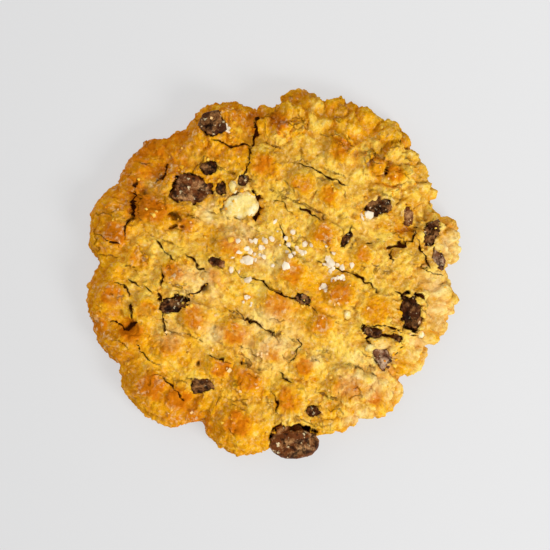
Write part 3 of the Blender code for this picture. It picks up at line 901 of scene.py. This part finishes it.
def chip_points(chip):
    """A chip's surface: directions from its middle, pushed out to a block with rounded edges,
    tapered to +X, and swollen and dented by noise; rings from the top pole down, in mm."""
    name, kind, x, y, half_length, half_width, turn, taper = chip[:8]
    middle, half_height = chip_heights(name)
    down = np.linspace(0, math.pi, CHIP_RINGS + 1)[1:-1, None]
    around = np.linspace(0, 2 * math.pi, CHIP_AROUND, endpoint=False)[None, :]
    way = np.stack(
        [np.sin(down) * np.cos(around), np.sin(down) * np.sin(around), np.cos(down) + 0 * around], axis=-1
    ).reshape(-1, 3)
    way = np.concatenate([[(0, 0, 1)], way, [(0, 0, -1)]])
    seed = int(1000 + 37 * abs(x) + 11 * abs(y))
    plan = (np.abs(way[:, 0]) ** PLAN_SQUARE + np.abs(way[:, 1]) ** PLAN_SQUARE) ** (1 / PLAN_SQUARE)
    blocky = (plan**SIDE_SQUARE + np.abs(way[:, 2]) ** SIDE_SQUARE) ** (-1 / SIDE_SQUARE)
    lumps = blocky * np.minimum(0.92 + 0.55 * rough(way + x, 1.0, 3, seed), 1.04)
    slim = 1 - taper * way[:, 0]
    halves = np.stack([half_length + 0 * slim, half_width * slim, half_height * slim], axis=-1)
    own = way * lumps[:, None] * halves
    knobs = 0.7 * rough(own + 50, 1.8, 2, seed + 5) + 0.9 * (crumbly(own, 1.1, 2, seed + 7) - 0.4)
    own += way * (KNOBS.get(name, KNOBS[kind]) * knobs)[:, None]
    c, s = math.cos(math.radians(turn)), math.sin(math.radians(turn))
    return own @ np.array([[c, s, 0], [-s, c, 0], [0, 0, 1]]) + np.array([x, y, middle])


def ball_faces(rings, around):
    """Faces of a ball of rings between two poles."""
    numbers = 1 + np.arange((rings - 1) * around).reshape(rings - 1, around)
    numbers = np.concatenate([numbers, numbers[:, :1]], axis=1)
    last = 1 + (rings - 1) * around
    cap = np.stack([np.zeros(around, int), numbers[0, :-1], numbers[0, 1:]], axis=-1)
    foot = np.stack([np.full(around, last), numbers[-1, 1:], numbers[-1, :-1]], axis=-1)
    return grid_faces(numbers).tolist() + cap.tolist() + foot.tolist()


def chocolate(name, body, bloom_and_highlight, pit_shade, clouded, dusted):
    """Set chocolate: body colour, bloom with painted highlight, patches of painted shade, crumb dust."""
    made = Finish(name)
    colour = made.layered(
        body,
        (made.noise(1.1, 4.0, 2.0, 0.7).between(0.47, 0.64) * clouded, bloom_and_highlight),
        (made.noise(0.8, 3.0, 4.0, 0.65).between(0.47, 0.60) * 0.9, pit_shade),
        (made.noise(0.42, 3.0, 7.0, 0.6).between(0.615, 0.68) * dusted, SUGAR_PALE),
    )
    return made.finish(
        colour,
        0.28 + 0.3 * made.noise(0.8),
        relief=made.noise(0.6, 4.0, 0.0, 0.65),
        depth=0.7,
        Specular_IOR_Level=0.09,
    )


# The chocolates: the material's name, its body, its bloom with painted highlight, its patches of
# painted shade, how strongly the bloom clouds it, and how much crumb dust lies on it.
CHOCOLATES = {
    kind: chocolate(name, shade(*body), shade(*bloom_and_highlight), shade(*pit_shade), clouded, dusted)
    for kind, name, body, bloom_and_highlight, pit_shade, clouded, dusted in [
        ("dark", "dark_chocolate", (70, 32, 5), (186, 130, 74), (18, 4, 0), 0.75, 0.7),
        ("milk", "milk_chocolate", (110, 58, 22), (216, 162, 104), (28, 8, 0), 0.85, 0.8),
        ("dusted", "dusted_chocolate", (122, 76, 48), (240, 206, 166), (46, 18, 8), 0.9, 1.0),
        ("white", "white_chocolate", (252, 226, 140), (255, 247, 212), (246, 208, 100), 0.95, 0.4),
    ]
}
DUSTED = ("chip_dusted", "chip_far_right_low")  # chips with pale crumbs pressed into them

for chip in CHIPS:
    name, kind = chip[:2]
    faces = ball_faces(CHIP_RINGS, CHIP_AROUND)
    piece = mesh_piece("baked_" + name, chip_points(chip), faces)
    piece.data.materials.append(CHOCOLATES["dusted" if name in DUSTED else kind])
    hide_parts(name)
    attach(piece, "root")


# The salt flakes ------------------------------------------------------------------------------
# Flakes of salt, thrown by hand over the middle of the round before it was baked.  They lie in
# loose clusters, a little sunk in the crust.

# Their clusters: place, half width, and how many flakes.
FLAKE_CLUSTERS = [
    (-3.4, 3.0, 2.9, 20), (-0.4, 6.6, 2.0, 9), (3.4, 4.6, 2.4, 16), (12.4, 1.4, 2.6, 16),
    (9.8, -3.4, 0.8, 3), (-5.1, -5.6, 1.4, 5), (-9.0, 28.4, 0.4, 4), (18.4, 11.4, 0.6, 4),
]
FLAKE_SPREAD = 0.7    # how widely they are thrown, as a share of the half width
FLAKE_THIN = 0.5      # how thick a flake is, as a share of what a grain would be

# A nugget of twenty faces: the corners of three golden rectangles, crossed.
GOLDEN = (1 + math.sqrt(5)) / 2
NUGGET = np.array([(-1, GOLDEN, 0), (1, GOLDEN, 0), (-1, -GOLDEN, 0), (1, -GOLDEN, 0)]) / GOLDEN
NUGGET = np.concatenate([NUGGET, np.roll(NUGGET, 1, axis=1), np.roll(NUGGET, 2, axis=1)])
NUGGET_FACES = np.array(
    [
        (0, 11, 5), (0, 5, 1), (0, 1, 7), (0, 7, 10), (0, 10, 11), (1, 5, 9), (5, 11, 4),
        (11, 10, 2), (10, 7, 6), (7, 1, 8), (3, 9, 4), (3, 4, 2), (3, 2, 6), (3, 6, 8),
        (3, 8, 9), (4, 9, 5), (2, 4, 11), (6, 2, 10), (8, 6, 7), (9, 8, 1),
    ]
)

# One run of random numbers serves all that is strewn, so the draws below keep their order.
dice = np.random.default_rng(8)


def random_sizes(count, middle, spread, least, most):
    """Half sizes (mm) along three axes: e to the power of a number drawn round the middle, times
    a share from least to most for each axis."""
    return dice.lognormal(middle, spread, (count, 1)) * dice.uniform(least, most, (count, 3))


def resting(places):
    """Points (mm) on top of the skin, or of a chip where one stands higher, at those places."""
    rest = points[[np.argmin(np.hypot(x - px, y - py)) for px, py in places]].copy()
    for chip in CHIPS:
        middle, half_height = chip_heights(chip[0])
        reach = np.clip(chip_reach(rest, chip), 0, 1)
        top = middle + half_height * (1 - reach**SIDE_SQUARE) ** (1 / SIDE_SQUARE)
        rest[:, 2] = np.where(reach < 1, np.maximum(rest[:, 2], top), rest[:, 2])
    return rest


def strewn(name, places, sizes, shape, shape_faces, jitter, sink):
    """Many small solids as one mesh: each is a shape with its corners moved at random, turned
    any way, leaned by a slope of about 0.3, and set on the skin, sunk in by a share of its size."""
    rest = resting(places)
    own = shape[None] * (1 + jitter * dice.uniform(-1, 1, (len(rest), len(shape), 3)))
    own = own * sizes[:, None, :]
    turn = dice.uniform(0, 2 * math.pi, len(rest))
    lean = dice.normal(0, 0.3, (len(rest), 2))
    c, s = np.cos(turn)[:, None], np.sin(turn)[:, None]
    flat = np.stack(
        [own[..., 0] * c - own[..., 1] * s, own[..., 0] * s + own[..., 1] * c, own[..., 2]], axis=-1
    )
    flat[..., 2] += flat[..., 0] * lean[:, :1] + flat[..., 1] * lean[:, 1:]
    rise = sizes[:, 2] * (1 - 2 * sink)
    placed = flat + rest[:, None] + np.array([0, 0, 1]) * rise[:, None, None]
    first = len(shape) * np.arange(len(rest))
    faces = (shape_faces[None] + first[:, None, None]).reshape(-1, shape_faces.shape[1])
    return mesh_piece(name, placed.reshape(-1, 3), faces.tolist())


flake_places = np.concatenate(
    [dice.normal((cx, cy), half * FLAKE_SPREAD, (count, 2)) for cx, cy, half, count in FLAKE_CLUSTERS]
)
flake_sizes = random_sizes(len(flake_places), -0.72, 0.24, 0.55, 1.2) * (1, 1, FLAKE_THIN)
flakes = strewn("salt_flakes", flake_places, flake_sizes, NUGGET, NUGGET_FACES, 0.30, 0.2)
flakes.data.shade_flat()
salt = Finish("salt")
flakes.data.materials.append(
    salt.finish(salt.mix(salt.noise(0.8), shade(250, 238, 214), shade(236, 214, 176)), 0.4)
)
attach(flakes, "root")


# The white nibs -------------------------------------------------------------------------------
# Bits of white chocolate that broke off the chunk as the dough was mixed, melted soft in the oven
# and a little sunk in the crust.

# Place, half length and half width.  The half height is NIB_HEIGHT times the half width.
NIBS = np.array(
    [
        (-7.9, 16.9, 1.25, 0.9),
        (14.6, -8.3, 1.0, 0.7),
        (29.6, -13.0, 0.9, 0.6),
        (19.2, -15.2, 1.0, 0.8),
    ]
)
NIB_HEIGHT = 0.6

nib_sizes = np.stack([NIBS[:, 2], NIBS[:, 3], NIB_HEIGHT * NIBS[:, 3]], axis=-1)
nibs = strewn("white_nibs", NIBS[:, :2], nib_sizes, NUGGET, NUGGET_FACES, 0.25, 0.25)
nibs.data.materials.append(CHOCOLATES["white"])
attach(nibs, "root")


# The sugar grains -----------------------------------------------------------------------------
# Grains of sugar that stayed whole in the oven, little broken cubes, in patches on the browned
# tops of the bumps.

SUGAR_TRIES = 1680    # places tried, of which those that are likely keep a grain
STREWN_WITHIN = 36    # half the side of the square that is tried (mm)
CUBE = np.array(list(itertools.product((-1, 1), repeat=3)), float)
CUBE_FACES = np.array(
    [(0, 1, 3, 2), (4, 6, 7, 5), (0, 4, 5, 1), (2, 3, 7, 6), (0, 2, 6, 4), (1, 5, 7, 3)]
)


def tried_places(tries, share):
    """Places (mm) drawn evenly from the square, and which lie within that share of the outline."""
    places = dice.uniform(-STREWN_WITHIN, STREWN_WITHIN, (tries, 2))
    return places, np.hypot(*places.T) < share * lobe_reach(np.arctan2(places[:, 1], places[:, 0]))


sugar_places, inside = tried_places(SUGAR_TRIES, 0.93)
patchy = rough(np.pad(sugar_places, ((0, 0), (0, 1))), 5.0, 2, 301)
likely = 0.02 + 0.6 * fork_bumps(*sugar_places.T)[1] * np.clip(3.0 * patchy - 0.1, 0, 1)
sugar_places = sugar_places[inside & (dice.uniform(0, 1, len(inside)) < likely)]
sugar_sizes = random_sizes(len(sugar_places), -1.6, 0.35, 0.7, 1.2)
sugar = strewn("sugar_grains", sugar_places, sugar_sizes, CUBE, CUBE_FACES, 0.30, 0.35)
sugar.data.shade_flat()
glint = Finish("sugar")
sugar.data.materials.append(
    glint.finish(glint.mix(glint.noise(1.2), shade(252, 216, 150), shade(242, 186, 106)), 0.5)
)
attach(sugar, "root")


# The loose crumbs -----------------------------------------------------------------------------
# Crumbs of the crust that broke off where it tore open, most of them round the chips, and stuck
# where they fell.

CRUMB_TRIES = 3250    # places tried, as for the sugar, of which few lie on a chip

crumb_places, inside = tried_places(CRUMB_TRIES, 0.95)
chip_reaches = np.array([chip_reach(crumb_places, chip) for chip in CHIPS])
near_chip = np.max(smooth_fall((chip_reaches - 1.25) / 0.35), axis=0)
on_chip = np.min(chip_reaches, axis=0) < 1
likely = np.where(on_chip, 0.03, 0.10 + 0.6 * near_chip)
crumb_places = crumb_places[inside & (dice.uniform(0, 1, len(inside)) < likely)]
crumb_sizes = random_sizes(len(crumb_places), -1.55, 0.4, 0.7, 1.3)
crumbs = strewn("loose_crumbs", crumb_places, crumb_sizes, NUGGET, NUGGET_FACES, 0.45, 0.40)
loose = Finish("loose_crumbs")
tone = loose.layered(
    PALE_CRUMB,
    (loose.noise(1.6, 3.0).between(0.35, 0.6), GOLDEN_CRUMB),
    (loose.noise(1.1, 3.0, 4.0).between(0.5, 0.7), TOASTED_CRUST),
)
crumbs.data.materials.append(
    loose.finish(tone, 0.85, relief=loose.noise(0.3, 4.0), depth=0.2, Specular_IOR_Level=0.12)
)
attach(crumbs, "root")


# The table, the light and the camera ----------------------------------------------------------
# A white table top that glows: painted light, as if lit from below, so that shadows on it are
# faint, and painted darker to the left, away from the key light.  Above it a large soft light
# from the near right; it is seen from straight above.

TABLE_SIDE = 4.0      # metres
TABLE_GAP = 0.0002    # how far it lies under the cookie, so that the two faces never meet
TABLE_PAINTED_GLOW = 0.70     # how strongly it glows: painted light, as if lit from below
bpy.ops.mesh.primitive_plane_add(size=TABLE_SIDE, location=(0, 0, -TABLE_GAP))
table = bpy.context.object
table.name = "table_top"
paint = Finish("white_table")
# The glow is painted darker to the left and lighter to the right, as the key light falls across.
across = paint.node("ShaderNodeSeparateXYZ", vector=paint.place).between(-0.06, 0.06)
painted_glow = paint.mix(across, shade(226, 226, 226), shade(240, 240, 240))
plug(paint.tree, paint.shader.inputs["Emission Color"], painted_glow)
table.data.materials.append(
    paint.finish(shade(112, 112, 113), 0.6 + 0.1 * paint.noise(30.0), Emission_Strength=TABLE_PAINTED_GLOW)
)


def softbox(name, place, size, watts):
    """A square light at a place and of a side in metres, turned to face the cookie."""
    light = bpy.data.lights.new(name, "AREA")
    light.size = size
    light.energy = watts
    made = bpy.data.objects.new(name, light)
    made.location = place
    made.rotation_euler = (-made.location).to_track_quat("-Z", "Y").to_euler()
    bpy.context.scene.collection.objects.link(made)


softbox("key", (0.63, -0.52, 0.74), 0.44, 9.1)
softbox("fill", (-0.6, 0.5, 1.0), 1.4, 5.6)

ROOM_LIGHT = 0.415    # even white light from all round
world = bpy.data.worlds.new("studio")
world.use_nodes = True
sky = world.node_tree.nodes["Background"]
sky.inputs["Color"].default_value = (1.0, 1.0, 1.0, 1.0)
sky.inputs["Strength"].default_value = ROOM_LIGHT
bpy.context.scene.world = world

VIEW_WIDTH = 110.0    # width of the view, half way up the rim (mm)
CAMERA_PLACE = np.array([0.3, -0.6, 700.0])
camera = bpy.data.cameras.new("camera")
camera.lens = camera.sensor_width * (CAMERA_PLACE[2] - RIM_HEIGHT / 2) / VIEW_WIDTH
camera.clip_end = 10
overhead = bpy.data.objects.new("camera", camera)
overhead.location = MIDDLE + CAMERA_PLACE * MM
bpy.context.scene.collection.objects.link(overhead)
bpy.context.scene.camera = overhead
bpy.context.scene.view_settings.view_transform = "Standard"
